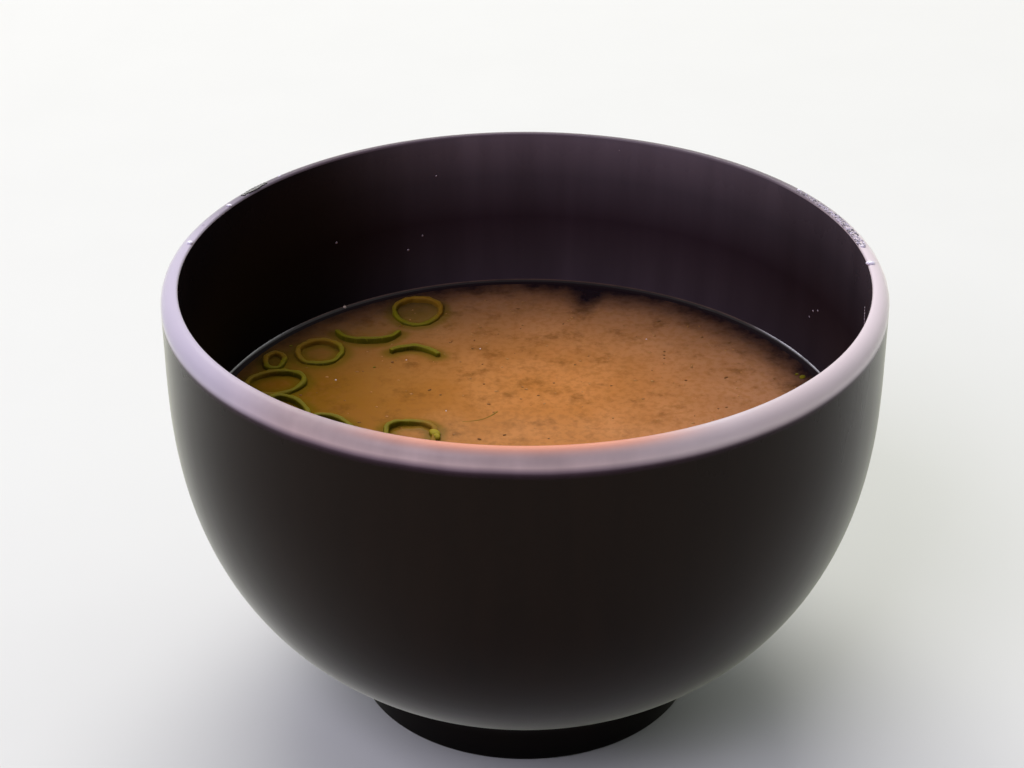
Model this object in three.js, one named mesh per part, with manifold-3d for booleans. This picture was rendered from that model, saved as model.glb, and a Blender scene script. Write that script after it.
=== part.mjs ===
// One helping of miso soup in its lacquered bowl, with slices of spring onion afloat.
// Millimetres, +Z up. The origin lies on the table under the middle of the foot ring,
// and -Y faces the diner.

import * as THREE from "three";
import { mergeVertices } from "three/addons/utils/BufferGeometryUtils.js";
import Module from "manifold-3d";

// Bowl, whole
const BOWL_HEIGHT = 74;
const TURN_STEPS = 60; // facets round every turned surface, a multiple of four

// Bowl, walls: each stands upright down to `level`, then closes `drop` below it in a
// superellipse (power 2 is an ellipse, more is squarer)
const OUTER_WALL = { radius: 56.2, level: 61, drop: 58.2, power: 2.38 };
const INNER_WALL = { radius: 53.5, level: 61, drop: 51.5, power: 2.5 };
const WALL_STEPS = 10;

// Bowl, lip: a crisp inner edge and a full outward round
const LIP_OUTER_ROUND = 2.3;
const LIP_INNER_ROUND = 0.4;
const LIP_STEPS = 4;

// Bowl, foot ring
const FOOT_RADIUS = 28.1;
const FOOT_RING_WIDTH = 3.6;
const FOOT_EDGE_ROUND = 0.6;
const FOOT_STRAIGHT = 4.4; // height of its upright side, below the hollow curve
const FOOT_MEETS_BODY = 31.8; // radius at which that curve runs out into the body
const FOOT_CURVE_STEPS = 4;
const FOOT_TANGENT_STEP = 0.01; // share of the wall's turn over which its slope is taken
const FOOT_RECESS = 3.4; // depth of the underside's shallow hollow

// Soup
const SOUP_LEVEL = 45.3;
const MENISCUS_RISE = 0.6; // how far the soup climbs the wall
const MENISCUS_REACH = 2.2; // how far from the wall the climb starts
const MENISCUS_STEPS = 3;
const CLEARANCE = 0.3; // kept between the soup and all that it touches

// Spring onion, cut across the leaf into thin-walled rings
const SLICE_WALL = 0.9;
const SLICE_CUT = 2.2; // height of a slice
const SLICE_PROUD = 0.7; // how far its top stands above the soup
const SLICE_STEP = 13; // degrees from one facet to the next
const SLICE_SLOT_TOP = 3; // how far the slot in the soup is cut past a slice's top

// Each slice follows a superellipse about x, y with the two half sizes given, turned by
// `turn`, with `lobes` waves of the part `wave` of its radius round it. An open slice runs
// over `sweep` degrees from `from`. It is tipped by `tip` so that its side towards
// `raised` stands higher. Angles are in degrees, counted from +X towards +Y.
const ROUND = { power: 2, turn: 0, from: 0, sweep: 360, lobes: 5, wave: 0.02, raised: 90, tip: 4 };
const SLICES = [
  { ...ROUND, name: "onion_round", x: -35.1, y: 25, halfX: 3.75, halfY: 3.75, wave: 0.025 },
  { ...ROUND, name: "onion_far_ring", x: -19, y: 40.2, halfX: 4.1, halfY: 4.6, lobes: 3, wave: 0.04 },
  { ...ROUND, name: "onion_wavy_arc", x: -27.2, y: 33.6, halfX: 5.6, halfY: 4.1,
    from: 190, sweep: 160, raised: 270 },
  { ...ROUND, name: "onion_strip", x: -19.1, y: 23.4, halfX: 4.3, halfY: 3, turn: -8, from: 18, sweep: 142 },
  { ...ROUND, name: "onion_long_ring", x: -41.6, y: 14.2, halfX: 4.8, halfY: 3.5, turn: 14, lobes: 3 },
  { ...ROUND, name: "onion_wall_ring", x: -42.5, y: 22, halfX: 1.6, halfY: 2.6, tip: 2 },
  { ...ROUND, name: "onion_pointed_ring", x: -40.2, y: 4, halfX: 4.9, halfY: 5.3, power: 1.5, wave: 0 },
  { ...ROUND, name: "onion_near_arc", x: -33.1, y: -3, halfX: 5.3, halfY: 5.7, from: -75, sweep: 180 },
  { ...ROUND, name: "onion_square_ring", x: -18.3, y: -2.6, halfX: 3.9, halfY: 3.7, power: 3.2, raised: 150 },
];

const LACQUER = new THREE.MeshStandardMaterial({ color: 0x2a1d22, roughness: 0.28, metalness: 0 });
const MISO = new THREE.MeshStandardMaterial({ color: 0xb47a48, roughness: 0.25, metalness: 0 });
const ONION_GREEN = new THREE.MeshStandardMaterial({ color: 0x4d6a1c, roughness: 0.4, metalness: 0 });

const manifold = await Module();
manifold.setup();

const radians = THREE.MathUtils.degToRad;
const point = (radius, height) => new THREE.Vector2(radius, height);

// ---- Turned shapes ------------------------------------------------------------------

// Point of a wall's curve, from its upright part at turn 0 to the axis at a right angle.
function wallPoint(wall, turn) {
  const radius = wall.radius * Math.max(0, Math.cos(turn)) ** (2 / wall.power);
  const depth = wall.drop * Math.max(0, Math.sin(turn)) ** (2 / wall.power);
  return point(radius, wall.level - depth);
}

// The turn at which a wall's curve has narrowed to the given radius.
function turnAtRadius(wall, radius) {
  return Math.acos((radius / wall.radius) ** (wall.power / 2));
}

// The turn at which a wall's curve has come down to the given height.
function turnAtHeight(wall, height) {
  return Math.asin(((wall.level - height) / wall.drop) ** (wall.power / 2));
}

// Points of a wall's curve between two turns, both included.
function wallPoints(wall, from, to, steps) {
  const points = [];
  for (let step = 0; step <= steps; step += 1) {
    points.push(wallPoint(wall, from + ((to - from) * step) / steps));
  }
  return points;
}

// Points of a round edge about a centre, both ends included.
function arcPoints(centre, radius, fromDegrees, toDegrees, steps) {
  const points = [];
  for (let step = 0; step <= steps; step += 1) {
    const angle = radians(fromDegrees + ((toDegrees - fromDegrees) * step) / steps);
    points.push(point(centre.x + radius * Math.cos(angle), centre.y + radius * Math.sin(angle)));
  }
  return points;
}

// A closed body turned about the Z axis from a profile that starts and ends on it.
function turned(profile) {
  return new THREE.LatheGeometry(profile, TURN_STEPS).rotateX(Math.PI / 2);
}

// ---- Bowl ---------------------------------------------------------------------------

// The underside: shallow recess, flat ring to stand on, upright foot side.
function footPoints() {
  const innerRadius = FOOT_RADIUS - FOOT_RING_WIDTH;
  return [
    point(0, FOOT_RECESS),
    point(innerRadius - FOOT_EDGE_ROUND, FOOT_RECESS),
    point(innerRadius, FOOT_RECESS - FOOT_EDGE_ROUND),
    point(innerRadius, FOOT_EDGE_ROUND),
    point(innerRadius + FOOT_EDGE_ROUND, 0),
    ...arcPoints(point(FOOT_RADIUS - FOOT_EDGE_ROUND, FOOT_EDGE_ROUND), FOOT_EDGE_ROUND, -90, 0, 2),
  ];
}

// The hollow curve that runs from the foot's upright side out into the body.
function footCurvePoints(bodyStart) {
  const end = wallPoint(OUTER_WALL, bodyStart);
  const ahead = wallPoint(OUTER_WALL, bodyStart * (1 - FOOT_TANGENT_STEP));
  const slope = (ahead.y - end.y) / (ahead.x - end.x);
  const start = point(FOOT_RADIUS, FOOT_STRAIGHT);
  const corner = point(FOOT_RADIUS, end.y - (end.x - FOOT_RADIUS) * slope);
  return new THREE.QuadraticBezierCurve(start, corner, end).getPoints(FOOT_CURVE_STEPS).slice(0, -1);
}

// The lip, from the outer wall over the top to the inner wall.
function lipPoints() {
  const outerCentre = point(OUTER_WALL.radius - LIP_OUTER_ROUND, BOWL_HEIGHT - LIP_OUTER_ROUND);
  const innerCentre = point(INNER_WALL.radius + LIP_INNER_ROUND, BOWL_HEIGHT - LIP_INNER_ROUND);
  return [
    ...arcPoints(outerCentre, LIP_OUTER_ROUND, 0, 90, LIP_STEPS),
    ...arcPoints(innerCentre, LIP_INNER_ROUND, 135, 180, 1),
  ];
}

function bowlGeometry() {
  const bodyStart = turnAtRadius(OUTER_WALL, FOOT_MEETS_BODY);
  return turned([
    ...footPoints(),
    ...footCurvePoints(bodyStart),
    ...wallPoints(OUTER_WALL, bodyStart, 0, WALL_STEPS),
    ...lipPoints(),
    ...wallPoints(INNER_WALL, 0, Math.PI / 2, WALL_STEPS),
  ]);
}

// ---- Soup ---------------------------------------------------------------------------

// The hollow curve by which the soup climbs the wall, from the wall inwards.
function meniscusPoints(contact) {
  const points = [];
  for (let step = 1; step <= MENISCUS_STEPS; step += 1) {
    const part = step / MENISCUS_STEPS;
    points.push(point(contact.x - MENISCUS_REACH * part, SOUP_LEVEL + MENISCUS_RISE * (1 - part) ** 2));
  }
  return points;
}

// The soup with nothing in it, clear of the bowl all round.
function wholeSoup() {
  const wall = { ...INNER_WALL };
  wall.radius -= CLEARANCE;
  wall.drop -= CLEARANCE;
  const top = turnAtHeight(wall, SOUP_LEVEL + MENISCUS_RISE);
  const side = wallPoints(wall, Math.PI / 2, top, WALL_STEPS);
  return turned([...side, ...meniscusPoints(side.at(-1)), point(0, SOUP_LEVEL)]);
}

// ---- Spring onion -------------------------------------------------------------------

const signedPower = (value, power) => Math.sign(value) * Math.abs(value) ** power;

// Point of a slice's path, shifted outwards from the middle of its wall.
function slicePoint(slice, degrees, shift) {
  const angle = radians(degrees);
  const swell = 1 + slice.wave * Math.sin(slice.lobes * angle);
  const along = (slice.halfX * swell + shift) * signedPower(Math.cos(angle), 2 / slice.power);
  const across = (slice.halfY * swell + shift) * signedPower(Math.sin(angle), 2 / slice.power);
  return point(along, across).rotateAround(point(0, 0), radians(slice.turn));
}

// One edge of a slice's wall, from its start to its end.
function sliceEdge(slice, shift, from, sweep) {
  const steps = Math.round(sweep / SLICE_STEP);
  const last = sweep < 360 ? steps : steps - 1;
  const points = [];
  for (let step = 0; step <= last; step += 1) {
    points.push(slicePoint(slice, from + (sweep * step) / steps, shift));
  }
  return points;
}

// A slice's outline from above, grown all round by the given amount.
function sliceOutline(slice, grown) {
  const half = SLICE_WALL / 2 + grown;
  if (slice.sweep === 360) {
    const ring = new THREE.Shape(sliceEdge(slice, half, 0, 360));
    ring.holes.push(new THREE.Path(sliceEdge(slice, -half, 0, 360)));
    return ring;
  }
  const meanRadius = (slice.halfX + slice.halfY) / 2;
  const growth = THREE.MathUtils.radToDeg(grown / meanRadius);
  const from = slice.from - growth;
  const sweep = slice.sweep + 2 * growth;
  return new THREE.Shape([
    ...sliceEdge(slice, half, from, sweep),
    ...sliceEdge(slice, -half, from, sweep).reverse(),
  ]);
}

// A slice's body with its top at height zero, or the slot that gives it room.
function sliceGeometry(slice, grown, extraTop) {
  const depth = SLICE_CUT + grown + extraTop;
  const body = new THREE.ExtrudeGeometry(sliceOutline(slice, grown), { depth, bevelEnabled: false });
  return body.translate(0, 0, -SLICE_CUT - grown);
}

// Where a slice floats: tipped about the level line square to its raised side.
function slicePlace(slice) {
  const raised = radians(slice.raised);
  const hinge = new THREE.Vector3(Math.sin(raised), -Math.cos(raised), 0);
  const tipped = new THREE.Matrix4().makeRotationAxis(hinge, radians(slice.tip));
  return tipped.setPosition(slice.x, slice.y, SOUP_LEVEL + SLICE_PROUD);
}

// ---- Solids and meshes --------------------------------------------------------------

// A geometry's shape as a solid that can be cut.
function solidOf(geometry) {
  const bare = geometry.clone();
  bare.deleteAttribute("normal");
  bare.deleteAttribute("uv");
  const merged = mergeVertices(bare);
  const vertProperties = new Float32Array(merged.attributes.position.array);
  const triVerts = new Uint32Array(merged.index.array);
  return new manifold.Manifold(new manifold.Mesh({ numProp: 3, vertProperties, triVerts }));
}

// A solid's surface as a geometry.
function geometryOf(solid) {
  const mesh = solid.getMesh();
  const geometry = new THREE.BufferGeometry();
  geometry.setAttribute("position", new THREE.BufferAttribute(mesh.vertProperties, 3));
  geometry.setIndex(new THREE.BufferAttribute(mesh.triVerts, 1));
  return geometry;
}

// The soup with a slot cut round each slice that floats in it.
function soupGeometry() {
  let soup = solidOf(wholeSoup());
  for (const slice of SLICES) {
    const slot = sliceGeometry(slice, CLEARANCE, SLICE_SLOT_TOP).applyMatrix4(slicePlace(slice));
    soup = soup.subtract(solidOf(slot));
  }
  return geometryOf(soup);
}

function namedMesh(name, geometry, material) {
  const mesh = new THREE.Mesh(geometry, material);
  mesh.name = name;
  return mesh;
}

const misoSoup = new THREE.Group();
misoSoup.add(namedMesh("bowl", bowlGeometry(), LACQUER));
misoSoup.add(namedMesh("soup", soupGeometry(), MISO));
for (const slice of SLICES) {
  const mesh = namedMesh(slice.name, sliceGeometry(slice, 0, 0), ONION_GREEN);
  mesh.applyMatrix4(slicePlace(slice));
  misoSoup.add(mesh);
}

export default misoSoup;
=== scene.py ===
"""Miso soup in a lacquered bowl: the looks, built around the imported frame.

Metres, +Z up. The origin is on the table under the bowl's foot ring, and the diner
sits towards -Y. Sizes are dataclass fields in millimetres, as a maker would write them;
places come from the frame.
"""

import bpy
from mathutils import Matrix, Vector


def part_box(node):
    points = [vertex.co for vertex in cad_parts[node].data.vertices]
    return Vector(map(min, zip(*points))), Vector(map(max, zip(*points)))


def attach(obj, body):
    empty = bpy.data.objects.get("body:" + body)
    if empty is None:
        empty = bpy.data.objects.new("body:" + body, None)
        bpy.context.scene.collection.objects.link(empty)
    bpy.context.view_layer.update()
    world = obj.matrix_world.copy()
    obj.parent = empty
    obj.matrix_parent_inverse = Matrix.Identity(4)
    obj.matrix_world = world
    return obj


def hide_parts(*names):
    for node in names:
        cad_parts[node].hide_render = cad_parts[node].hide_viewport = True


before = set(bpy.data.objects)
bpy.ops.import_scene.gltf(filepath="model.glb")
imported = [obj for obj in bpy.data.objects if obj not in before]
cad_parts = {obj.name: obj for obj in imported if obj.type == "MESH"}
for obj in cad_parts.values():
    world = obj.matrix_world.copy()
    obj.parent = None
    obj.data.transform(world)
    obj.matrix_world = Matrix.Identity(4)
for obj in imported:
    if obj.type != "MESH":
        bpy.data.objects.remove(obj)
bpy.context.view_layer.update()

import logging
import math
import random
from dataclasses import dataclass
from enum import Enum
from typing import Sequence

import bpy
from mathutils import Matrix, Vector

LOG = logging.getLogger("miso_soup")
MM = 0.001
WELD = 0.00001
SOFT_EDGE = 60
ALL_SOFT = 180
SEED = 11

Colour = tuple[float, float, float, float]
Source = bpy.types.Node | tuple[bpy.types.Node, str | int]

UP = Vector((0, 0, 1))
SMOOTH = {"interpolation_type": "SMOOTHSTEP"}

# The mix node's sockets for colours, by number, since its names repeat.
SHARE, FIRST, SECOND, MIXED = "0", "6", "7", 2

# The sRGB curve: a short straight toe, then a power.
SRGB_TOE, SRGB_SLOPE, SRGB_OFFSET, SRGB_POWER = 0.04045, 12.92, 0.055, 2.4


# ---- Small tools ----------------------------------------------------------------------


class Slot(Enum):
    """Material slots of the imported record."""

    LACQUER = "bowl_lacquer"
    SOUP = "soup"
    ONION = "spring_onion"


class Kind(Enum):
    """Shader nodes by what they do."""

    PLACE = "ShaderNodeTexCoord"
    SPLIT = "ShaderNodeSeparateXYZ"
    NOISE = "ShaderNodeTexNoise"
    RANGE = "ShaderNodeMapRange"
    RAMP = "ShaderNodeValToRGB"
    MATH = "ShaderNodeMath"
    VECTOR = "ShaderNodeVectorMath"
    STRETCH = "ShaderNodeMapping"
    MIX = "ShaderNodeMix"
    BUMP = "ShaderNodeBump"
    MARK = "ShaderNodeAttribute"
    FACING = "ShaderNodeNewGeometry"
    SURFACE = "ShaderNodeBsdfPrincipled"
    OUTPUT = "ShaderNodeOutputMaterial"
    ROOM = "ShaderNodeBackground"
    ROOM_OUTPUT = "ShaderNodeOutputWorld"


def linear(code: str, alpha: float = 1.0) -> Colour:
    """Turns an sRGB hex colour into linear values.

    Args:
        code: The colour as "#rrggbb".
        alpha: The fourth value.

    Returns:
        Red, green, blue and alpha, linear.
    """
    parts = [int(code[i : i + 2], 16) / 255 for i in (1, 3, 5)]
    red, green, blue = (
        p / SRGB_SLOPE if p <= SRGB_TOE else ((p + SRGB_OFFSET) / (1 + SRGB_OFFSET)) ** SRGB_POWER
        for p in parts
    )
    return red, green, blue, alpha


def add_node(
    tree: bpy.types.NodeTree, kind: Kind, inputs: dict[str, object] | None = None, **settings: object
) -> bpy.types.Node:
    """Adds a node with its settings and links.

    Args:
        tree: The node tree it goes in.
        kind: What kind of node it is.
        inputs: For each input socket, a plain value, the node whose first output feeds it,
            or a node and the output that feeds it.
        **settings: The node's own properties.

    Returns:
        The new node.
    """
    node = tree.nodes.new(kind.value)
    for key, value in settings.items():
        setattr(node, key, value)
    for key, value in (inputs or {}).items():
        socket = node.inputs[int(key)] if key.isdigit() else node.inputs[key]
        if isinstance(value, bpy.types.Node):
            value = (value, 0)
        if isinstance(value, tuple) and isinstance(value[0], bpy.types.Node):
            tree.links.new(value[0].outputs[value[1]], socket)
        else:
            socket.default_value = value
    return node


def set_ramp(node: bpy.types.Node, stops: Sequence[tuple[float, Colour]]) -> None:
    """Gives a colour ramp its stops.

    Args:
        node: The colour ramp node.
        stops: Place and linear colour of each stop, in rising order.
    """
    elements = node.color_ramp.elements
    while len(elements) > 1:
        elements.remove(elements[-1])
    elements[0].position, elements[0].color = stops[0]
    for place, colour in stops[1:]:
        elements.new(place).color = colour


def grey(level: float) -> Colour:
    """Returns a linear grey of the given level."""
    return level, level, level, 1.0


def swing(pattern: Source, amount: float, middle: float = 0.0) -> dict[str, object]:
    """Returns the multiply-add inputs that swing a pattern by an amount about a middle."""
    return {"0": pattern, "1": 2 * amount, "2": middle - amount}


def smooth_step(low: float, high: float, value: float) -> float:
    """Returns 0 below low, 1 above high and a smooth rise between."""
    part = min(max((value - low) / (high - low), 0.0), 1.0)
    return part * part * (3 - 2 * part)


def on_circle(azimuth: float) -> Vector:
    """Returns the level direction at an azimuth in degrees, from +X towards +Y."""
    return Vector((math.cos(math.radians(azimuth)), math.sin(math.radians(azimuth)), 0))


@dataclass(frozen=True)
class Spot:
    """Where one small piece sits: its place in metres, its up, its size in millimetres, its turn."""

    place: Vector
    up: Vector
    size: tuple[float, float, float]
    turn: float = 0.0

    def matrix(self) -> Matrix:
        """Works out how a body one unit across gets there.

        Returns:
            The matrix that sizes, turns, aims and moves it.
        """
        aim = self.up.to_track_quat("Z", "Y").to_matrix().to_4x4()
        turned = aim @ Matrix.Rotation(math.radians(self.turn), 4, "Z")
        sized = Matrix.Diagonal((*(side * MM for side in self.size), 1))
        return Matrix.Translation(self.place) @ turned @ sized


class Workbench:
    """Modelling by operators, one object at a time."""

    @staticmethod
    def clear() -> None:
        """Leaves edit mode and deselects everything."""
        if bpy.context.mode != "OBJECT":
            bpy.ops.object.mode_set(mode="OBJECT")
        bpy.ops.object.select_all(action="DESELECT")

    @staticmethod
    def take(piece: bpy.types.Object) -> None:
        """Makes a piece the only selected object and the active one.

        Args:
            piece: The piece.
        """
        Workbench.clear()
        piece.select_set(True)
        bpy.context.view_layer.objects.active = piece

    @staticmethod
    def edit(piece: bpy.types.Object, kind: str = "VERT") -> None:
        """Enters edit mode on a piece, with all of it selected.

        Args:
            piece: The piece to edit.
            kind: What is selected: VERT, EDGE or FACE.
        """
        Workbench.take(piece)
        bpy.ops.object.mode_set(mode="EDIT")
        bpy.ops.mesh.select_mode(type=kind)
        bpy.ops.mesh.select_all(action="SELECT")

    @staticmethod
    def draw_chain(name: str, points: Sequence[Vector], closed: bool = False) -> bpy.types.Object:
        """Draws a chain of edges by extruding one vertex from point to point.

        Args:
            name: The new object's name.
            points: The chain's points, in metres.
            closed: Whether the last point is joined to the first.

        Returns:
            The chain as a mesh object in object mode.
        """
        Workbench.clear()
        bpy.ops.mesh.primitive_plane_add(size=MM)
        piece = bpy.context.object
        piece.name = piece.data.name = name
        bpy.ops.object.mode_set(mode="EDIT")
        bpy.ops.mesh.select_mode(type="VERT")
        bpy.ops.mesh.merge(type="CENTER")
        bpy.ops.transform.translate(value=points[0])
        for here, there in zip(points, points[1:]):
            bpy.ops.mesh.extrude_vertices_move(TRANSFORM_OT_translate={"value": there - here})
        if closed:
            gap = points[0] - points[-1]
            bpy.ops.mesh.extrude_vertices_move(TRANSFORM_OT_translate={"value": gap})
            bpy.ops.mesh.select_all(action="SELECT")
            bpy.ops.mesh.remove_doubles(threshold=WELD)
        bpy.ops.object.mode_set(mode="OBJECT")
        return piece

    @staticmethod
    def spin(piece: bpy.types.Object, steps: int) -> None:
        """Spins a profile about the Z axis into a closed body.

        Args:
            piece: The profile, drawn as a chain that starts and ends on the axis.
            steps: The number of steps in the full turn.
        """
        Workbench.edit(piece)
        bpy.ops.mesh.spin(steps=steps, angle=math.tau, center=(0, 0, 0), axis=(0, 0, 1))
        bpy.ops.mesh.select_all(action="SELECT")
        bpy.ops.mesh.remove_doubles(threshold=WELD)
        bpy.ops.mesh.normals_make_consistent(inside=False)
        bpy.ops.object.mode_set(mode="OBJECT")

    @staticmethod
    def modify(piece: bpy.types.Object, kind: str, **settings: object) -> None:
        """Adds a modifier and applies it.

        Args:
            piece: The piece.
            kind: The modifier's type.
            **settings: The modifier's properties.
        """
        Workbench.take(piece)
        modifier = piece.modifiers.new(kind.title(), kind)
        for key, value in settings.items():
            setattr(modifier, key, value)
        bpy.ops.object.modifier_apply(modifier=modifier.name)

    @staticmethod
    def smooth(piece: bpy.types.Object, degrees: float = SOFT_EDGE) -> None:
        """Shades a piece smooth, with sharper edges left crisp.

        Args:
            piece: The piece.
            degrees: The angle above which an edge stays crisp.
        """
        Workbench.take(piece)
        bpy.ops.object.shade_smooth_by_angle(angle=math.radians(degrees), keep_sharp_edges=True)
        Workbench.clear()

    @staticmethod
    def blob(name: str, detail: int, unevenness: float) -> bpy.types.Object:
        """Models a small uneven rounded body, one unit across, about its own centre.

        Args:
            name: Its name.
            detail: The subdivisions of the icosahedron it starts from.
            unevenness: How far its corners stray.

        Returns:
            The body in object mode.
        """
        Workbench.clear()
        bpy.ops.mesh.primitive_ico_sphere_add(subdivisions=detail, radius=0.5)
        piece = bpy.context.object
        piece.name = name
        Workbench.edit(piece)
        bpy.ops.transform.vertex_random(offset=unevenness, uniform=0.0, normal=0.0, seed=SEED)
        bpy.ops.object.mode_set(mode="OBJECT")
        return piece

    @staticmethod
    def strew(name: str, pattern: bpy.types.Object, spots: Sequence[Spot]) -> bpy.types.Object:
        """Copies a body to many spots and joins the copies into one object at the origin.

        Args:
            name: The joined object's name.
            pattern: The body, one unit across, which is used up.
            spots: Where the copies go.

        Returns:
            The joined object, unturned and unscaled, shaded smooth.
        """
        Workbench.clear()
        for spot in spots:
            piece = bpy.data.objects.new(name, pattern.data.copy())
            bpy.context.scene.collection.objects.link(piece)
            piece.matrix_world = spot.matrix()
            piece.select_set(True)
            bpy.context.view_layer.objects.active = piece
        bpy.data.objects.remove(pattern)
        bpy.ops.object.join()
        joined = bpy.context.object
        bpy.ops.object.transform_apply(location=True, rotation=True, scale=True)
        joined.name = joined.data.name = name
        Workbench.smooth(joined, ALL_SOFT)
        return joined


def mark_points(piece: bpy.types.Object, name: str, values: Sequence[float]) -> None:
    """Writes a mark on a piece's points for its material to read.

    Args:
        piece: The piece.
        name: The mark's name.
        values: Its value at each point.
    """
    piece.data.attributes.new(name, "FLOAT", "POINT").data.foreach_set("value", values)


def hand_over(piece: bpy.types.Object, slot: Slot, *nodes: str) -> None:
    """Lets a finished piece ride on the part and hides the nodes it stands for.

    Args:
        piece: The finished piece.
        slot: Not used.
        *nodes: The frame's nodes that it replaces.
    """
    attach(piece, "root")
    if nodes:
        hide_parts(*nodes)
    faces = sum(len(face.vertices) - 2 for face in piece.data.polygons)
    LOG.info("%s: %d triangles", piece.name, faces)


# ---- Finishes -------------------------------------------------------------------------


class Measure(Enum):
    """What a layer of colour goes by: a place on the part, a pattern, or a mark on the mesh."""

    ASIDE = "distance to either side of the middle"
    LEFT = "distance to the left"
    RIGHT = "distance to the right"
    BACK = "distance towards the back"
    LIP = "from the lip's lower line up"
    LIP_EDGE = "towards the lip's inner edge"
    UPWARD = "how far the face looks up"
    BROAD = "broad patches"
    FINE = "finer patches"
    SPECKS = "the finest patches"
    NEAR_LEAF = "the surface's leaf mark"
    CLEARNESS = "the surface's clear mark, made fuzzy"
    SUNK = "the slice's film mark"


@dataclass(frozen=True)
class Pattern:
    """A cloudy pattern: its features' width in millimetres, and how finely it is broken up."""

    width: float
    detail: float
    broken: float = 0.5

    def inputs(self) -> dict[str, object]:
        """Returns the noise node's settings."""
        return {"Scale": 1 / (self.width * MM), "Detail": self.detail, "Roughness": self.broken}


@dataclass(frozen=True)
class Layer:
    """One colour laid over those before it, from the start of its measure to its end.

    Places are in metres, and patterns and marks run from 0 to 1.
    """

    measure: Measure
    start: float
    end: float
    share: float
    colour: str
    within: tuple[Measure, ...] = ()


class Finish:
    """What every finish shares: a material with one Principled shader and Object coordinates."""

    def start(self, name: str) -> tuple[bpy.types.Material, bpy.types.NodeTree, Source]:
        """Makes an empty material.

        Args:
            name: The material's name.

        Returns:
            The material, its tree and its Object coordinates.
        """
        material = bpy.data.materials.new(name)
        material.use_nodes = True
        tree = material.node_tree
        tree.nodes.clear()
        return material, tree, (add_node(tree, Kind.PLACE), "Object")

    def lay(
        self,
        tree: bpy.types.NodeTree,
        base: Source | Colour,
        measures: dict[Measure, Source],
        layers: Sequence[Layer],
        **edge: str,
    ) -> Source | Colour:
        """Lays colours over one another.

        Args:
            tree: The material's tree.
            base: The colour underneath.
            measures: The output that gives each measure.
            layers: The layers, lowest first.
            **edge: How a layer comes in, as settings of the range node.

        Returns:
            The colour with every layer on it.
        """
        colour = base
        for layer in layers:
            span = {
                "Value": measures[layer.measure],
                "From Min": layer.start,
                "From Max": layer.end,
                "To Max": layer.share,
            }
            share = add_node(tree, Kind.RANGE, span, **edge)
            for mask in layer.within:
                part = {"0": share, "1": measures[mask]}
                share = add_node(tree, Kind.MATH, part, operation="MULTIPLY")
            mix = {SHARE: share, FIRST: colour, SECOND: linear(layer.colour)}
            colour = (add_node(tree, Kind.MIX, mix, data_type="RGBA"), MIXED)
        return colour

    def close(self, tree: bpy.types.NodeTree, inputs: dict[str, object]) -> None:
        """Adds the Principled shader and the material's output.

        Args:
            tree: The material's tree.
            inputs: What the shader's sockets are set to or fed by.
        """
        add_node(tree, Kind.OUTPUT, {"Surface": add_node(tree, Kind.SURFACE, inputs)})


@dataclass(frozen=True)
class Tone:
    """One tone of the lacquer at a height above the table, in millimetres."""

    height: float
    colour: str
    roughness: float


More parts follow.
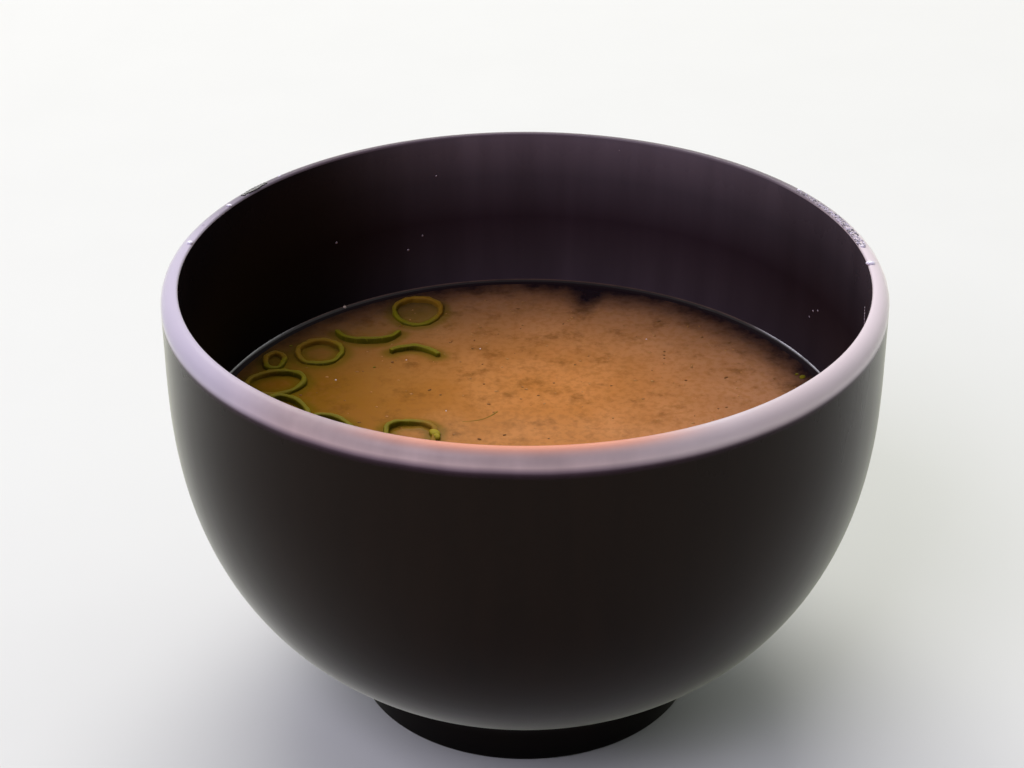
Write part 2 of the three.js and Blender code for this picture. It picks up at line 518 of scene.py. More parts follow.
@dataclass(frozen=True)
class UrushiLacquer(Finish):
    """Sprayed urushi-style lacquer on moulded wood resin, satin from years of washing.

    The eye gets a warm near-black that turns pale and silky towards the outline, faint
    upright wipe marks in the sheen and a lilac lip with a plum line under it. Layers of
    painted light and shade lie over it by place.
    """

    name: str
    tones: tuple[Tone, ...]
    ior: float = 1.17
    sheen: float = 0.0
    sheen_roughness: float = 0.25
    sheen_tint: str = "#f0f2df"
    # Layers of painted light and shade, laid over the tones by place.
    light_and_shade_layers: tuple[Layer, ...] = ()
    lip_bottom: float = 70.6
    lip_top: float = 72.0
    edge_outer: float = 56.0
    edge_inner: float = 53.9
    waver: float = 0.3
    waver_pattern: Pattern = Pattern(14.0, 1)
    peel_depth: float = 0.002
    peel_pattern: Pattern = Pattern(1.6, 1)
    wipe_pattern: Pattern = Pattern(5.0, 3)
    wipe_stretch: float = 0.12
    wipe_spread: float = 0.05
    wipe_shade: float = 0.3

    def material(self) -> bpy.types.Material:
        """Builds the material.

        Returns:
            The material, with its tones set by height.
        """
        material, tree, place = self.start(self.name)
        split = add_node(tree, Kind.SPLIT, {"Vector": place})
        waver = add_node(tree, Kind.NOISE, {"Vector": place, **self.waver_pattern.inputs()})
        shift = add_node(tree, Kind.MATH, swing(waver, self.waver * MM), operation="MULTIPLY_ADD")
        height = add_node(tree, Kind.MATH, {"0": (split, "Z"), "1": shift}, operation="ADD")
        low, high = self.tones[0].height, self.tones[-1].height
        span = {"Value": height, "From Min": low * MM, "From Max": high * MM}
        part = add_node(tree, Kind.RANGE, span)
        places = [(tone.height - low) / (high - low) for tone in self.tones]
        colour = add_node(tree, Kind.RAMP, {"Fac": part})
        set_ramp(colour, [(at, linear(tone.colour)) for at, tone in zip(places, self.tones)])
        rough = add_node(tree, Kind.RAMP, {"Fac": part})
        set_ramp(rough, [(at, grey(tone.roughness)) for at, tone in zip(places, self.tones)])
        drawn = add_node(tree, Kind.STRETCH, {"Vector": place, "Scale": (1, 1, self.wipe_stretch)})
        wipes = add_node(tree, Kind.NOISE, {"Vector": drawn, **self.wipe_pattern.inputs()})
        spread, shade = (
            add_node(tree, Kind.MATH, swing(wipes, amount, middle), operation="MULTIPLY_ADD")
            for amount, middle in ((self.wipe_spread, 0.0), (self.wipe_shade, 1.0))
        )
        wiped = add_node(tree, Kind.MATH, {"0": rough, "1": spread}, operation="ADD")
        tint = add_node(tree, Kind.VECTOR, {"0": colour, "Scale": shade}, operation="SCALE")
        peel = add_node(tree, Kind.NOISE, {"Vector": place, **self.peel_pattern.inputs()})
        relief = add_node(tree, Kind.BUMP, {"Height": peel, "Distance": self.peel_depth * MM})
        measures = self.measures(tree, place, split)
        self.close(
            tree,
            {
                "Base Color": self.lay(tree, tint, measures, self.light_and_shade_layers, **SMOOTH),
                "Roughness": wiped,
                "Normal": relief,
                "IOR": self.ior,
                "Sheen Weight": self.sheen,
                "Sheen Roughness": self.sheen_roughness,
                "Sheen Tint": linear(self.sheen_tint),
            },
        )
        return material

    def measures(
        self, tree: bpy.types.NodeTree, place: Source, split: bpy.types.Node
    ) -> dict[Measure, Source]:
        """Measures the bowl for its layers of painted light and shade.

        Args:
            tree: The material's tree.
            place: The coordinates it reads.
            split: The coordinates as separate numbers.

        Returns:
            The output that gives each measure.
        """
        flat = add_node(tree, Kind.VECTOR, {"0": place, "1": (1, 1, 0)}, operation="MULTIPLY")
        radius = add_node(tree, Kind.VECTOR, {"0": flat}, operation="LENGTH")
        lip, edge = (
            add_node(
                tree,
                Kind.RANGE,
                {"Value": measure, "From Min": start * MM, "From Max": end * MM},
                **SMOOTH,
            )
            for measure, start, end in (
                ((split, "Z"), self.lip_bottom, self.lip_top),
                ((radius, "Value"), self.edge_outer, self.edge_inner),
            )
        )
        aside = add_node(tree, Kind.MATH, {"0": (split, "X")}, operation="ABSOLUTE")
        left = add_node(tree, Kind.MATH, {"0": (split, "X"), "1": -1.0}, operation="MULTIPLY")
        return {
            Measure.ASIDE: aside,
            Measure.LEFT: left,
            Measure.BACK: (split, "Y"),
            Measure.LIP: lip,
            Measure.LIP_EDGE: edge,
        }


ON_LIP = (Measure.LIP,)
ON_LIP_EDGE = (Measure.LIP, Measure.LIP_EDGE)
OUTSIDE = UrushiLacquer(
    "urushi_lacquer_outside",
    (
        Tone(1.0, "#0c0807", 0.5),
        Tone(7.0, "#140c07", 0.42),
        Tone(18.0, "#190e08", 0.34),
        Tone(70.0, "#1a0f08", 0.28),
        Tone(70.8, "#33222c", 0.26),
        Tone(71.3, "#85707a", 0.24),
        Tone(72.0, "#c6adad", 0.22),
        Tone(73.2, "#b5a1a1", 0.2),
        Tone(74.0, "#aa979a", 0.2),
    ),
    sheen=0.7,
    # Painted light on the lip: painted reflections make it pale at the sides and in front on
    # the right, less so on the far left, a painted reflection of the soup warms the near inner
    # edge, and painted shade darkens the back.
    light_and_shade_layers=(
        Layer(Measure.ASIDE, 32 * MM, 55 * MM, 0.75, "#ebe4f4", ON_LIP),
        Layer(Measure.LEFT, -4 * MM, -30 * MM, 0.75, "#ddcfd2", ON_LIP),
        Layer(Measure.LEFT, 30 * MM, 50 * MM, 0.75, "#bab2c6", ON_LIP),
        Layer(Measure.BACK, -47 * MM, -54 * MM, 1.0, "#dc9275", ON_LIP_EDGE),
        Layer(Measure.BACK, 7 * MM, 36 * MM, 0.85, "#514652", ON_LIP),
    ),
)
INSIDE = UrushiLacquer(
    "urushi_lacquer_inside",
    # Lighter at the top and just above the soup: painted light with a painted steam haze, and a painted
    # reflection of the soup.
    (
        Tone(45.0, "#463a40", 0.3),
        Tone(50.0, "#3f353b", 0.3),
        Tone(58.0, "#30262f", 0.3),
        Tone(66.0, "#4a434c", 0.3),
        Tone(73.0, "#6d636d", 0.26),
    ),
    # Painted shade darkens the sides, most of all on the left, so the painted light stays at the back.
    light_and_shade_layers=(
        Layer(Measure.ASIDE, 24 * MM, 54 * MM, 0.6, "#120a0e"),
        Layer(Measure.LEFT, 6 * MM, 40 * MM, 0.9, "#070404"),
    ),
)


@dataclass(frozen=True)
class MisoBroth(Finish):
    """Miso stirred into dashi: a tan cloud of fine bean paste in clear brown broth.

    The eye gets a fuzzy cloud with soft dark wisps, yellower on the onion's side and
    browner on the other, green round the onion, and clear dark broth along the wall. Painted
    shade darkens it towards the left, the right and the back, with a painted haze at the
    back. The surface's own marks say where the broth is clear and how near the onion is.
    """

    name: str = "miso_broth"
    cloud: str = "#b6763a"
    lobes: Pattern = Pattern(11.0, 3)
    wisps: Pattern = Pattern(4.2, 6, 0.68)
    dust: Pattern = Pattern(1.1, 3, 0.6)
    layers: tuple[Layer, ...] = (
        Layer(Measure.BROAD, 0.35, 0.68, 1.0, "#c38249"),
        # Darker olive to the left: painted shade of the left wall on a yellower cloud.
        Layer(Measure.RIGHT, 8 * MM, -42 * MM, 1.0, "#7e5512"),
        # Pinker brown to the right: partly painted shade, partly a browner cloud.
        Layer(Measure.RIGHT, 4 * MM, 46 * MM, 0.65, "#97705a"),
        # Darker and greyer to the back: painted shade of the back wall with a painted haze.
        Layer(Measure.BACK, 12 * MM, 48 * MM, 0.6, "#8c6852"),
        Layer(Measure.FINE, 0.5, 0.72, 0.6, "#6b4418"),
        Layer(Measure.SPECKS, 0.42, 0.66, 0.4, "#8e5c28"),
        Layer(Measure.NEAR_LEAF, 0.0, 1.0, 0.7, "#65540b"),
    )
    clear: Layer = Layer(Measure.CLEARNESS, 0.08, 0.9, 1.0, "#1e1317")
    clear_fuzz: float = 0.275
    roughness: float = 0.12
    ior: float = 1.34
    specular: float = 0.18
    glow: float = 0.2
    glow_reach: float = 1.5
    glow_colours: tuple[float, float, float] = (1.0, 0.45, 0.2)

    def material(self) -> bpy.types.Material:
        """Builds the material.

        Returns:
            The material, which reads the surface's "leaf" and "clear" marks.
        """
        material, tree, place = self.start(self.name)
        split = add_node(tree, Kind.SPLIT, {"Vector": place})
        lobes, wisps, dust = (
            add_node(tree, Kind.NOISE, {"Vector": place, **pattern.inputs()})
            for pattern in (self.lobes, self.wisps, self.dust)
        )
        leaf = add_node(tree, Kind.MARK, attribute_name="leaf")
        mark = add_node(tree, Kind.MARK, attribute_name="clear")
        fuzz = add_node(tree, Kind.MATH, swing(wisps, self.clear_fuzz), operation="MULTIPLY_ADD")
        measures = {
            Measure.BROAD: lobes,
            Measure.FINE: wisps,
            Measure.SPECKS: dust,
            Measure.RIGHT: (split, "X"),
            Measure.BACK: (split, "Y"),
            Measure.NEAR_LEAF: (leaf, "Fac"),
            Measure.CLEARNESS: add_node(
                tree, Kind.MATH, {"0": (mark, "Fac"), "1": fuzz}, operation="ADD"
            ),
        }
        cloud = self.lay(tree, linear(self.cloud), measures, self.layers, **SMOOTH)
        self.close(
            tree,
            {
                "Base Color": self.lay(tree, cloud, measures, (self.clear,)),
                "Roughness": self.roughness,
                "IOR": self.ior,
                "Specular IOR Level": self.specular,
                "Subsurface Weight": self.glow,
                "Subsurface Radius": self.glow_colours,
                "Subsurface Scale": self.glow_reach * MM,
            },
        )
        return material


@dataclass(frozen=True)
class ClearDashi(Finish):
    """Clear broth drawn up the wall in a thin film.

    The eye gets the dark lacquer through it and a fine line of light where it ends, pinkish
    at the back and bright at the sides. The line is a little broader than the real one so
    that it shows.
    """

    level: float
    name: str = "clear_dashi"
    body: str = "#1e1317"
    line: str = "#5f453d"
    bright: str = "#ffffff"
    line_from: float = 0.48
    line_to: float = 0.76
    side_from: float = 38.0
    side_to: float = 45.0
    streaks: Pattern = Pattern(3.0, 2)
    streak_from: float = 0.3
    streak_to: float = 0.55
    streak_least: float = 0.5
    roughness: float = 0.05
    ior: float = 1.34

    def material(self) -> bpy.types.Material:
        """Builds the material.

        Returns:
            The material, with its line set by height.
        """
        material, tree, place = self.start(self.name)
        split = add_node(tree, Kind.SPLIT, {"Vector": place})
        aside = add_node(tree, Kind.MATH, {"0": (split, "X")}, operation="ABSOLUTE")
        sides = Layer(Measure.ASIDE, self.side_from * MM, self.side_to * MM, 1.0, self.bright)
        line = self.lay(tree, linear(self.line), {Measure.ASIDE: aside}, (sides,), **SMOOTH)
        film = add_node(tree, Kind.NOISE, {"Vector": place, **self.streaks.inputs()})
        low, high = (self.level + rise for rise in (self.line_from, self.line_to))
        span = {"Value": (split, "Z"), "From Min": low * MM, "From Max": high * MM}
        high_up = add_node(tree, Kind.RANGE, span, **SMOOTH)
        span = {
            "Value": film,
            "From Min": self.streak_from,
            "From Max": self.streak_to,
            "To Min": self.streak_least,
        }
        uneven = add_node(tree, Kind.RANGE, span)
        share = add_node(tree, Kind.MATH, {"0": high_up, "1": uneven}, operation="MULTIPLY")
        mix = {SHARE: share, FIRST: linear(self.body), SECOND: line}
        colour = (add_node(tree, Kind.MIX, mix, data_type="RGBA"), MIXED)
        self.close(tree, {"Base Color": colour, "Roughness": self.roughness, "IOR": self.ior})
        return material


@dataclass(frozen=True)
class OnionLeaf(Finish):
    """Spring onion leaf, cut raw across the tube and wet.

    The eye gets a deep olive green with fine veins along the leaf, a slightly paler cut,
    light that comes through the thin wall, and a film of the cloud where the "film" mark
    says that the slice has gone under.
    """

    name: str = "spring_onion_leaf"
    skin: str = "#6e650c"
    skin_dark: str = "#4b4506"
    cut: str = "#756b12"
    film: str = "#86611a"
    tones: Pattern = Pattern(5.0, 2)
    veins: Pattern = Pattern(0.35, 2)
    vein_stretch: float = 0.12
    vein_depth: float = 0.03
    roughness: float = 0.55
    ior: float = 1.42
    specular: float = 0.1
    glow: float = 0.35
    glow_reach: float = 0.8
    glow_colours: tuple[float, float, float] = (1.0, 0.8, 0.1)

    def layers(self) -> tuple[Layer, ...]:
        """Lists what lies over the dark skin.

        Returns:
            Its paler tones, its veins, the cut on top and the film of cloud.
        """
        return (
            Layer(Measure.BROAD, 0.3, 0.7, 1.0, self.skin),
            Layer(Measure.FINE, 0.55, 0.75, 0.7, self.cut),
            Layer(Measure.UPWARD, 0.55, 0.9, 0.8, self.cut),
            Layer(Measure.SUNK, 0.0, 1.0, 1.0, self.film),
        )

    def material(self) -> bpy.types.Material:
        """Builds the material.

        Returns:
            The material.
        """
        material, tree, place = self.start(self.name)
        tone = add_node(tree, Kind.NOISE, {"Vector": place, **self.tones.inputs()})
        along = add_node(tree, Kind.STRETCH, {"Vector": place, "Scale": (1, 1, self.vein_stretch)})
        veins = add_node(tree, Kind.NOISE, {"Vector": along, **self.veins.inputs()})
        facing = add_node(tree, Kind.SPLIT, {"Vector": (add_node(tree, Kind.FACING), "Normal")})
        measures = {
            Measure.BROAD: tone,
            Measure.FINE: veins,
            Measure.UPWARD: (facing, "Z"),
            Measure.SUNK: (add_node(tree, Kind.MARK, attribute_name="film"), "Fac"),
        }
        relief = add_node(tree, Kind.BUMP, {"Height": veins, "Distance": self.vein_depth * MM})
        self.close(
            tree,
            {
                "Base Color": self.lay(tree, linear(self.skin_dark), measures, self.layers()),
                "Normal": relief,
                "Roughness": self.roughness,
                "IOR": self.ior,
                "Specular IOR Level": self.specular,
                "Subsurface Weight": self.glow,
                "Subsurface Radius": self.glow_colours,
                "Subsurface Scale": self.glow_reach * MM,
            },
        )
        return material


@dataclass(frozen=True)
class Speckle(Finish):
    """Small wet things: condensed water in beads, soup bubbles, soaked bean grains.

    The eye gets soft dots of two tones, or with low roughness small sharp lights.
    """

    name: str
    first: str
    second: str
    roughness: float = 0.05
    ior: float = 1.33
    coat: float = 1.0
    coat_roughness: float = 0.03
    tone_size: float = 2.5
    tone_detail: float = 1.0
    tone_from: float = 0.4
    tone_to: float = 0.6

    def material(self) -> bpy.types.Material:
        """Builds the material.

        Returns:
            The material, whose two tones change from one small piece to the next.
        """
        material, tree, place = self.start(self.name)
        tones = Pattern(self.tone_size, self.tone_detail).inputs()
        measures = {Measure.BROAD: add_node(tree, Kind.NOISE, {"Vector": place, **tones})}
        layer = Layer(Measure.BROAD, self.tone_from, self.tone_to, 1.0, self.second)
        self.close(
            tree,
            {
                "Base Color": self.lay(tree, linear(self.first), measures, (layer,)),
                "Roughness": self.roughness,
                "IOR": self.ior,
                "Coat Weight": self.coat,
                "Coat Roughness": self.coat_roughness,
            },
        )
        return material


# ---- Bowl -----------------------------------------------------------------------------


@dataclass(frozen=True)
class WallCurve:
    """One face of the bowl's wall: upright down to a level, then a superellipse."""

    radius: float
    level: float
    drop: float
    power: float

    def point(self, turn: float) -> tuple[float, float]:
        """Finds a point of the curve.

        Args:
            turn: 0 at the upright part, a right angle at the axis.

        Returns:
            Radius and height.
        """
        radius = self.radius * max(0.0, math.cos(turn)) ** (2 / self.power)
        depth = self.drop * max(0.0, math.sin(turn)) ** (2 / self.power)
        return radius, self.level - depth

    def turn_at_radius(self, radius: float) -> float:
        """Returns the turn at which the curve has narrowed to a radius."""
        return math.acos((radius / self.radius) ** (self.power / 2))

    def turn_at_height(self, height: float) -> float:
        """Returns the turn at which the curve has come down to a height."""
        return math.asin(((self.level - height) / self.drop) ** (self.power / 2))

    def points(self, start: float, end: float, steps: int) -> list[tuple[float, float]]:
        """Returns points between two turns, both included."""
        return [self.point(start + (end - start) * i / steps) for i in range(steps + 1)]

    def radius_at(self, height: float) -> float:
        """Returns the radius at a height."""
        return self.radius if height >= self.level else self.point(self.turn_at_height(height))[0]


def arc(
    centre: tuple[float, float], radius: float, start: float, end: float, steps: int
) -> list[tuple[float, float]]:
    """Returns points of a round edge in a profile, both ends included.

    Args:
        centre: Its centre's radius and height.
        radius: Its own radius.
        start: The first angle in degrees.
        end: The last angle in degrees.
        steps: The number of steps.

    Returns:
        Radius and height of each point.
    """
    angles = [math.radians(start + (end - start) * i / steps) for i in range(steps + 1)]
    return [(centre[0] + radius * math.cos(a), centre[1] + radius * math.sin(a)) for a in angles]


@dataclass
class LacqueredBowl:
    """The bowl: turned wall, round lip and foot ring, in one piece."""

    radius: float
    height: float
    lip_width: float = 2.7
    shoulder: float = 61.0
    outer_drop: float = 58.2
    outer_power: float = 2.38
    inner_drop: float = 51.5
    inner_power: float = 2.5
    lip_outer_round: float = 2.3
    lip_inner_round: float = 0.4
    foot_radius: float = 28.1
    foot_ring_width: float = 3.6
    foot_edge_round: float = 0.6
    foot_straight: float = 4.4
    foot_meets_body: float = 31.8
    foot_recess: float = 3.4
    recess_round: float = 1.6
    turn_steps: int = 208
    wall_steps: int = 56
    recess_steps: int = 5
    foot_edge_steps: int = 4
    foot_curve_steps: int = 10
    upright_steps: int = 6
    lip_steps: int = 14
    lip_inner_steps: int = 6
    inner_upright_steps: int = 8
    floor_margin: float = 1.0

    @classmethod
    def from_frame(cls) -> "LacqueredBowl":
        """Takes the bowl's width and height from its node in the frame.

        Returns:
            The bowl, not yet built.
        """
        low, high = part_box("bowl")
        return cls(radius=high.x / MM, height=(high.z - low.z) / MM)

    @property
    def outer(self) -> WallCurve:
        """Returns the wall's outer face."""
        return WallCurve(self.radius, self.shoulder, self.outer_drop, self.outer_power)

    @property
    def inner(self) -> WallCurve:
        """Returns the wall's inner face."""
        return WallCurve(self.radius - self.lip_width, self.shoulder, self.inner_drop, self.inner_power)

    def foot_points(self) -> list[tuple[float, float]]:
        """Draws the underside.

        Returns:
            Its points from the axis out to the foot's upright side.
        """
        inside = self.foot_radius - self.foot_ring_width
        edge = self.foot_edge_round
        corner = (inside - self.recess_round, self.foot_recess - self.recess_round)
        return [
            (0.0, self.foot_recess),
            (inside / 2, self.foot_recess),
            *arc(corner, self.recess_round, 90, 0, self.recess_steps),
            *arc((inside + edge, edge), edge, 180, 270, self.foot_edge_steps),
            *arc((self.foot_radius - edge, edge), edge, -90, 0, self.foot_edge_steps),
        ]

    def foot_curve(self, start_turn: float, nearly: float = 0.99) -> list[tuple[float, float]]:
        """Draws the hollow curve from the foot's side out into the body.

        Args:
            start_turn: The outer curve's turn at which the body begins.
            nearly: The share of that turn at which the body's slope is taken.

        Returns:
            The curve's points, without the last.
        """
        end = self.outer.point(start_turn)
        ahead = self.outer.point(start_turn * nearly)
        slope = (ahead[1] - end[1]) / (ahead[0] - end[0])
        first = (self.foot_radius, self.foot_straight)
        corner = (self.foot_radius, end[1] - (end[0] - self.foot_radius) * slope)
        points = []
        for i in range(self.foot_curve_steps):
            t = i / self.foot_curve_steps
            shares = ((1 - t) ** 2, 2 * t * (1 - t), t * t)
            pulls = list(zip(shares, (first, corner, end)))
            points.append(tuple(sum(share * p[axis] for share, p in pulls) for axis in (0, 1)))
        return points

    def profile(self) -> list[tuple[float, float]]:
        """Draws the whole profile.

        Returns:
            Its points from the axis below to the axis inside.
        """
        start = self.outer.turn_at_radius(self.foot_meets_body)
        straight = self.height - self.lip_outer_round - self.shoulder
        steps = self.upright_steps
        upright = [(self.radius, self.shoulder + straight * i / steps) for i in range(1, steps)]
        lip_centre = (self.radius - self.lip_outer_round, self.height - self.lip_outer_round)
        inner_centre = (self.inner.radius + self.lip_inner_round, self.height - self.lip_inner_round)
        drop = self.height - self.lip_inner_round - self.shoulder
        steps = self.inner_upright_steps
        down = [(self.inner.radius, self.shoulder + drop * i / steps) for i in range(steps - 1, 0, -1)]
        return [
            *self.foot_points(),
            *self.foot_curve(start),
            *self.outer.points(start, 0, self.wall_steps),
            *upright,
            *arc(lip_centre, self.lip_outer_round, 0, 90, self.lip_steps),
            *arc(inner_centre, self.lip_inner_round, 90, 180, self.lip_inner_steps),
            *down,
            *self.inner.points(0, math.pi / 2, self.wall_steps),
        ]

    def build(self) -> bpy.types.Object:
        """Turns the bowl and dresses its outside and inside.

        Returns:
            The finished piece.
        """
        profile = tidy_profile(self.profile())
        piece = Workbench.draw_chain("bowl_turned", [Vector((r * MM, 0, z * MM)) for r, z in profile])
        Workbench.spin(piece, self.turn_steps)
        self.dress(piece)
        Workbench.smooth(piece)
        hand_over(piece, Slot.LACQUER, "bowl")
        return piece

    def dress(self, piece: bpy.types.Object) -> None:
        """Gives each face the finish of the side that it lies on.

        Args:
            piece: The turned bowl.
        """
        for finish in (OUTSIDE, INSIDE):
            piece.data.materials.append(finish.material())
        rim = (self.height - self.lip_inner_round) * MM
        for face in piece.data.polygons:
            centre = face.center
            radius = math.hypot(centre.x, centre.y)
            inner_side = centre.z < rim and self.is_inside(centre, radius)
            face.material_index = 1 if inner_side else 0

    def is_inside(self, centre: Vector, radius: float) -> bool:
        """Says whether a face lies on the bowl's inner side.

        Args:
            centre: The face's centre, in metres.
            radius: Its distance from the axis, in metres.

        Returns:
            True where it is nearer to the inner curve.
        """
        height = centre.z / MM
        if height < self.shoulder - self.inner_drop - self.floor_margin:
            return False
        middle = WallCurve(
            self.radius - self.lip_width / 2,
            self.shoulder,
            (self.outer_drop + self.inner_drop) / 2,
            (self.outer_power + self.inner_power) / 2,
        )
        return radius / MM < middle.radius_at(height)

    def on_lip(self, azimuth: float, radius: float, size: tuple[float, float, float]) -> Spot:
        """Finds a spot on the lip's rounded top.

        Args:
            azimuth: Its direction in degrees.
            radius: Its distance from the axis.
            size: The size of what sits there.

        Returns:
            The spot, with its up square to the lip.
        """
        across = max(radius - self.radius + self.lip_outer_round, 0.0)
        rise = math.sqrt(self.lip_outer_round**2 - across**2)
        height = self.height - self.lip_outer_round + rise
        place = on_circle(azimuth) * radius + UP * height
        return Spot(place * MM, on_circle(azimuth) * across + UP * rise, size)

    def on_wall(self, azimuth: float, height: float, size: tuple[float, float, float]) -> Spot:
        """Finds a spot on the inner wall.

        Args:
            azimuth: Its direction in degrees.
            height: Its height above the table.
            size: The size of what sits there.

        Returns:
            The spot, with its up towards the axis.
        """
        place = on_circle(azimuth) * self.inner.radius_at(height) + UP * height
        return Spot(place * MM, -on_circle(azimuth), size)


def tidy_profile(
    points: Sequence[tuple[float, float]], least: float = 0.02
) -> list[tuple[float, float]]:
    """Drops profile points that lie on top of the one before.

    Args:
        points: The profile.
        least: The least distance kept, in millimetres.

    Returns:
        The points that are left.
    """
    kept = [points[0]]
    for point in points[1:]:
        if math.dist(point, kept[-1]) > least:
            kept.append(point)
    return kept


@dataclass
class Condensation:
    """Water that the soup's warmth has left on the lip and the inner wall."""

    bowl: LacqueredBowl
    # Each drop's azimuth, its distance from the axis and its width.
    drops: tuple[tuple[float, float, float], ...] = (
        (170.1, 54.0, 1.3),
        (154.3, 53.9, 1.0),
        (2.0, 53.9, 1.5),
        (8.5, 54.1, 1.1),
        (33.0, 54.4, 0.7),
        (139.5, 54.5, 0.7),
        (163.0, 54.3, 0.5),
    )
    froth_from: float = 9.0
    froth_to: float = 33.0
    froth_count: int = 520
    froth_widths: tuple[float, float] = (0.16, 0.36)
    froth_coarse: float = 1.1
    froth_thins: float = 0.5
    froth_middle: float = 54.1
    froth_reach: float = 0.7
    froth_narrows: float = 0.4
    froth_flatness: float = 0.7
    streak_from: float = 143.5
    streak_to: float = 149.5
    streak_count: int = 9
    streak_middle: float = 54.2
    streak_width: float = 1.3
    streak_taper: float = 0.5
    streak_unevenness: float = 0.1
    streak_overlap: float = 1.1
    streak_height: float = 0.4
    # Each speck's azimuth and height.
    specks: tuple[tuple[float, float], ...] = (
        (107, 66.9),
        (128, 58.2),
        (110, 55.7),
        (113, 53.4),
        (72, 71.9),
        (25, 54.9),
        (26, 53.4),
        (23.5, 55.6),
    )
    speck_widths: tuple[float, float] = (0.35, 0.6)
    speck_height: float = 0.15
    splash_azimuth: float = 0.7
    splash_height: float = 65.0
    splash_widths: tuple[float, float] = (0.5, 0.8)
    splash_drift: float = 0.15
    splash_step: float = 0.45
    splash_reach: int = 3
    splash_thickness: float = 0.12
    drop_shape: tuple[float, float, float] = (1.0, 0.8, 0.5)

    def on_lip(self) -> bpy.types.Object:
        """Builds the drops on the lip.

        Returns:
            The finished piece.
        """
        spots = [
            self.bowl.on_lip(azimuth, radius, tuple(width * part for part in self.drop_shape))
            for azimuth, radius, width in self.drops
        ]
        piece = Workbench.strew("lip_beads", Workbench.blob("bead", 3, 0.02), spots)
        piece.data.materials.append(Speckle("condensed_water", "#8e8297", "#e9e3f4").material())
        hand_over(piece, Slot.LACQUER)
        return piece

    def froth(self) -> bpy.types.Object:
        """Builds the froth of tiny beads on the right of the lip, coarser where it starts.

        Returns:
            The finished piece.
        """
        spots = []
        for _ in range(self.froth_count):
            part = random.random()
            azimuth = self.froth_from + (self.froth_to - self.froth_from) * part
            coarse = self.froth_coarse - self.froth_thins * part
            width = random.uniform(*self.froth_widths) * coarse
            aside = random.uniform(-self.froth_reach, self.froth_reach) * (1 - self.froth_narrows * part)
            size = (width, width, width * self.froth_flatness)
            spots.append(self.bowl.on_lip(azimuth, self.froth_middle + aside, size))
        piece = Workbench.strew("lip_froth", Workbench.blob("froth", 1, 0.02), spots)
        finish = Speckle("dried_froth", "#3f3647", "#cfc6dc", tone_size=0.7)
        piece.data.materials.append(finish.material())
        hand_over(piece, Slot.LACQUER)
        return piece

    def streak(self) -> bpy.types.Object:
        """Builds the run of water that lies along the far left of the lip.

        Returns:
            The finished piece.
        """
        spots = []
        for i in range(self.streak_count):
            part = i / (self.streak_count - 1)
            azimuth = self.streak_from + (self.streak_to - self.streak_from) * part
            taper = self.streak_taper * abs(2 * part - 1)
            uneven = random.uniform(-self.streak_unevenness, self.streak_unevenness)
            width = self.streak_width - taper + uneven
            size = (width * self.streak_overlap, width, self.streak_height)
            spots.append(self.bowl.on_lip(azimuth, self.streak_middle, size))
        piece = Workbench.strew("lip_streak", Workbench.blob("run", 2, 0.02), spots)
        piece.data.materials.append(Speckle("water_run", "#1c1519", "#3a3038").material())
        hand_over(piece, Slot.LACQUER)
        return piece

    def on_wall(self) -> bpy.types.Object:
        """Builds the specks and the pale splash on the inner wall.

        Returns:
            The finished piece.
        """
        spots = []
        for azimuth, height in self.specks:
            width = random.uniform(*self.speck_widths)
            spots.append(self.bowl.on_wall(azimuth, height, (width, width, self.speck_height)))
        for step in range(2 * self.splash_reach + 1):
            height = self.splash_height + self.splash_step * (step - self.splash_reach)
            width = random.uniform(*self.splash_widths)
            azimuth = self.splash_azimuth + self.splash_drift * step
            spots.append(self.bowl.on_wall(azimuth, height, (width, width, self.splash_thickness)))
        piece = Workbench.strew("wall_specks", Workbench.blob("speck", 1, 0.03), spots)
        piece.data.materials.append(Speckle("dried_splash", "#8d7d84", "#a99aa6", 0.2).material())
        hand_over(piece, Slot.LACQUER)
        return piece

    def build(self) -> None:
        """Builds all of it."""
        self.on_lip()
        self.froth()
        self.streak()
        self.on_wall()


# ---- Spring onion ---------------------------------------------------------------------


@dataclass(frozen=True)
class LeafWall:
    """A strip of leaf that stands on edge in the soup."""

    wall: float = 0.9
    cut: float = 2.2
    levels: int = 4
    unevenness: float = 0.5
    unevenness_size: float = 1.7
    rounding: float = 0.28
    rounding_steps: int = 2
    rounding_angle: float = 50.0
    crisp_angle: float = 70.0

    def build(self, name: str, path: Sequence[Vector], down: Vector, closed: bool) -> bpy.types.Object:
        """Models the strip: a drawn path, drawn down, thickened, rounded and made uneven.

        Args:
            name: The piece's name.
            path: Its top edge, in metres.
            down: The way from its top edge to its bottom edge, of unit length.
            closed: Whether it is a whole ring.

        Returns:
            The strip, shaded smooth.
        """
        piece = Workbench.draw_chain(name, path, closed)
        Workbench.edit(piece, "EDGE")
        for _ in range(self.levels):
            step = down * (self.cut * MM / self.levels)
            bpy.ops.mesh.extrude_region_move(TRANSFORM_OT_translate={"value": step})
        bpy.ops.mesh.select_all(action="SELECT")
        bpy.ops.mesh.normals_make_consistent(inside=False)
        bpy.ops.object.mode_set(mode="OBJECT")
        Workbench.modify(piece, "SOLIDIFY", thickness=self.wall * MM, offset=0, use_even_offset=True)
        Workbench.modify(
            piece,
            "BEVEL",
            width=self.wall * self.rounding * MM,
            segments=self.rounding_steps,
            limit_method="ANGLE",
            angle_limit=math.radians(self.rounding_angle),
        )
        texture = bpy.data.textures.new(name + "_unevenness", "CLOUDS")
        texture.noise_scale = self.unevenness_size * MM
        Workbench.modify(piece, "DISPLACE", texture=texture, strength=self.unevenness * MM)
        Workbench.smooth(piece, self.crisp_angle)
        return piece


